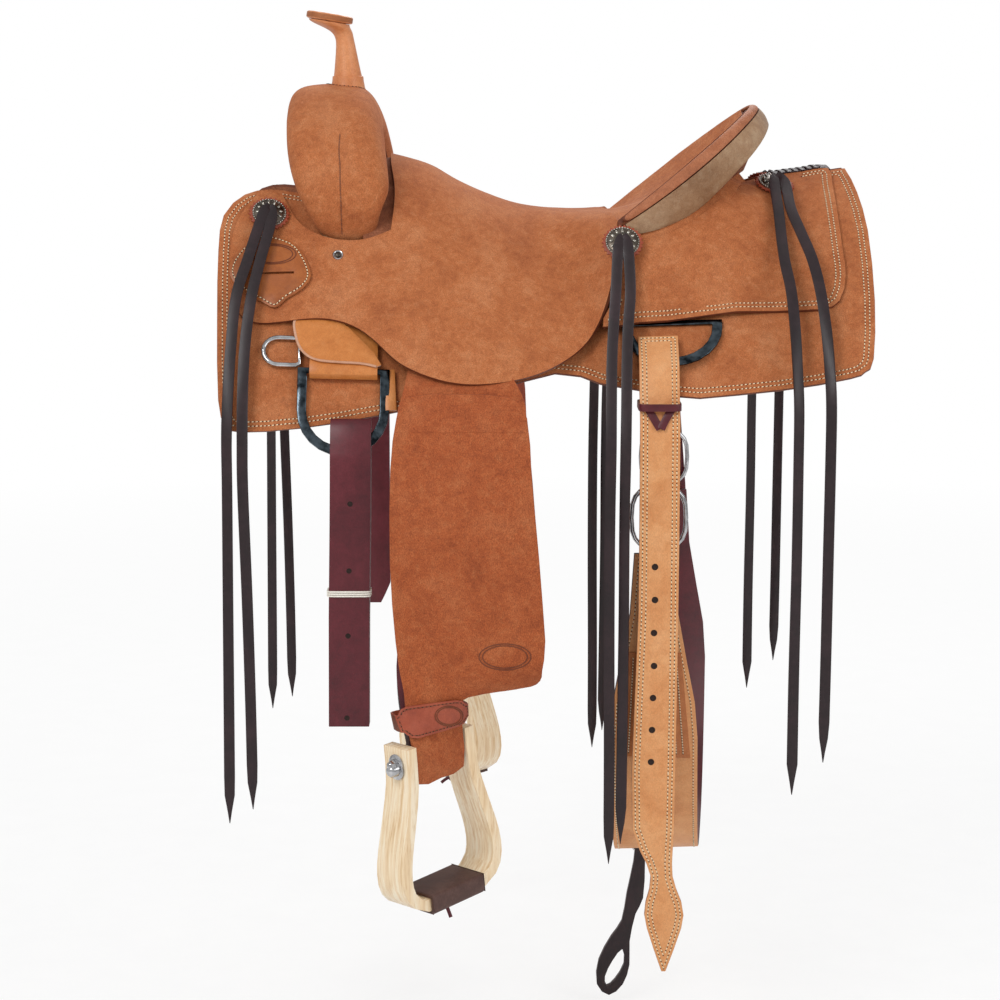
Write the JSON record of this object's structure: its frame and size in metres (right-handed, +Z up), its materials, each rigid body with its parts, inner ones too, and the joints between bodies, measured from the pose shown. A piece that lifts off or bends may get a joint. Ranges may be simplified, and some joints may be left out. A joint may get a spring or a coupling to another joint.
{
  "type": "western cutting saddle",
  "caption": "Western cutting saddle with horn, cantle, swinging fenders and stirrups, rigging rings, billets, flank cinch and saddle strings.",
  "frame": {"origin": "on the ridge of the rack, midway along the skirts", "axes": "-X to the horse's head, +X to its tail, -Y the near (left) side, +Z up"},
  "size_m": [0.7313, 0.68, 1.1919],
  "materials": {
    "roughout_leather": "matte",
    "smooth_russet_leather": "satin",
    "golden_harness_leather": "satin",
    "red_russet_leather": "satin",
    "burgundy_leather": "satin",
    "dark_leather": "satin",
    "rawhide": "satin",
    "fleece": "matte",
    "ash_wood": "satin",
    "stainless_steel": "satin",
    "silver": "polished"
  },
  "bodies": {
    "saddle": {"seat": "roughout_leather", "cantle_roll": "smooth_russet_leather", "cantle_binding": "rawhide", "tree_cantle": "roughout_leather", "tree_fork": "rawhide", "swell_cover": "roughout_leather", "horn_wrap": "smooth_russet_leather", "horn_cap": "smooth_russet_leather", "skirt_near": "roughout_leather", "fleece_near": "fleece", "rear_jockey_near": "roughout_leather", "tree_bar_near": "rawhide", "concho_front_near": "silver", "concho_mid_near": "silver", "concho_rear_near": "silver", "latigo_keeper_near": "golden_harness_leather", "rigging_leather_near": "smooth_russet_leather", "saddle_strings_front_near": "dark_leather", "saddle_strings_mid_near": "dark_leather", "saddle_strings_rear_near": "dark_leather", "skirt_off": "roughout_leather", "fleece_off": "fleece", "rear_jockey_off": "roughout_leather", "tree_bar_off": "rawhide", "concho_front_off": "silver", "concho_mid_off": "silver", "concho_rear_off": "silver", "latigo_keeper_off": "golden_harness_leather", "rigging_leather_off": "smooth_russet_leather", "saddle_strings_front_off": "dark_leather", "saddle_strings_mid_off": "dark_leather", "saddle_strings_rear_off": "dark_leather"},
    "strap_near": {"stirrup_leather_upper_near": "burgundy_leather"},
    "leg_near": {"fender_near": "roughout_leather", "stirrup_leather_lower_near": "burgundy_leather", "hobble_strap_near": "red_russet_leather"},
    "stirrup_near": {"stirrup_frame_near": "ash_wood", "stirrup_bolt_near": "stainless_steel", "stirrup_tread_near": "dark_leather"},
    "front_ring_near": {"front_rigging_ring_near": "stainless_steel"},
    "latigo_strap": {"latigo": "burgundy_leather"},
    "breast_ring_near": {"breast_dee_near": "stainless_steel"},
    "rear_ring_near": {"rear_rigging_ring_near": "stainless_steel", "rear_billet_near": "golden_harness_leather"},
    "strap_off": {"stirrup_leather_upper_off": "burgundy_leather"},
    "leg_off": {"fender_off": "roughout_leather", "stirrup_leather_lower_off": "burgundy_leather", "hobble_strap_off": "red_russet_leather"},
    "stirrup_off": {"stirrup_frame_off": "ash_wood", "stirrup_bolt_off": "stainless_steel", "stirrup_tread_off": "dark_leather"},
    "front_ring_off": {"front_rigging_ring_off": "stainless_steel"},
    "off_billet_strap": {"off_billet": "burgundy_leather"},
    "breast_ring_off": {"breast_dee_off": "stainless_steel"},
    "rear_ring_off": {"rear_rigging_ring_off": "stainless_steel", "rear_billet_off": "golden_harness_leather"},
    "flank": {"flank_cinch": "golden_harness_leather", "cinch_buckle_near": "stainless_steel", "cinch_buckle_off": "stainless_steel"},
    "connector": {"connector_strap": "dark_leather"}
  },
  "joints": [
    {"name": "fender_swing_near", "type": "hinge", "parent": "saddle", "child": "strap_near", "pos_m": [-0.112, -0.125, 0.03], "axis": [0, -1, 0], "range_deg": [-6.5, 10], "deforming": ["stirrup_leather_upper_near"]},
    {"name": "fender_lift_near", "type": "hinge", "parent": "strap_near", "child": "leg_near", "pos_m": [-0.112, -0.238, -0.135], "axis": [-1, 0, 0], "range_deg": [0, 50]},
    {"name": "stirrup_swing_near", "type": "hinge", "parent": "leg_near", "child": "stirrup_near", "pos_m": [-0.12757, -0.28158, -0.553], "axis": [0.7032, 0.702, 0.1132], "range_deg": [-60, 60]},
    {"name": "front_ring_flip_near", "type": "hinge", "parent": "saddle", "child": "front_ring_near", "pos_m": [-0.2225, -0.22814, -0.13365], "axis": [-0.9973, -0.0655, 0.034], "range_deg": [0, 40]},
    {"name": "latigo_swing", "type": "hinge", "parent": "front_ring_near", "child": "latigo_strap", "pos_m": [-0.2231, -0.2633, -0.2168], "axis": [-1, 0, 0], "range_deg": [-3, 6]},
    {"name": "rear_ring_flip_near", "type": "hinge", "parent": "saddle", "child": "rear_ring_near", "pos_m": [0.14, -0.17816, -0.08541], "axis": [-0.9987, 0.0376, -0.033], "range_deg": [0, 16]},
    {"name": "fender_swing_off", "type": "hinge", "parent": "saddle", "child": "strap_off", "pos_m": [-0.112, 0.125, 0.03], "axis": [0, -1, 0], "range_deg": [-6.5, 10], "deforming": ["stirrup_leather_upper_off"]},
    {"name": "fender_lift_off", "type": "hinge", "parent": "strap_off", "child": "leg_off", "pos_m": [-0.112, 0.238, -0.135], "axis": [1, 0, 0], "range_deg": [0, 50]},
    {"name": "stirrup_swing_off", "type": "hinge", "parent": "leg_off", "child": "stirrup_off", "pos_m": [-0.12757, 0.28158, -0.553], "axis": [0.7032, -0.702, 0.1132], "range_deg": [-60, 60]},
    {"name": "front_ring_flip_off", "type": "hinge", "parent": "saddle", "child": "front_ring_off", "pos_m": [-0.2225, 0.22814, -0.13365], "axis": [0.9973, -0.0655, -0.034], "range_deg": [0, 40]},
    {"name": "off_billet_swing", "type": "hinge", "parent": "front_ring_off", "child": "off_billet_strap", "pos_m": [-0.2231, 0.2607, -0.2168], "axis": [1, 0, 0], "range_deg": [-3, 6]},
    {"name": "rear_ring_flip_off", "type": "hinge", "parent": "saddle", "child": "rear_ring_off", "pos_m": [0.14, 0.17816, -0.08541], "axis": [0.9987, 0.0376, 0.033], "range_deg": [0, 16]},
    {"name": "breast_dee_turn_near", "type": "hinge", "parent": "saddle", "child": "breast_ring_near", "pos_m": [-0.271, -0.21811, -0.11319], "axis": [0, 0.4696, 0.8829], "range_deg": [0, 100]},
    {"name": "breast_dee_turn_off", "type": "hinge", "parent": "saddle", "child": "breast_ring_off", "pos_m": [-0.271, 0.21811, -0.11319], "axis": [0, 0.4696, -0.8829], "range_deg": [0, 100]},
    {"name": "flank_swing", "type": "hinge", "parent": "rear_ring_off", "child": "flank", "pos_m": [0.139, 0.2415, -0.294], "axis": [0, -1, 0], "range_deg": [-15, 8]},
    {"name": "connector_swing", "type": "hinge", "parent": "flank", "child": "connector", "pos_m": [0.119, 0, -0.739], "axis": [1, 0, 0], "range_deg": [-60, 60]}
  ]
}
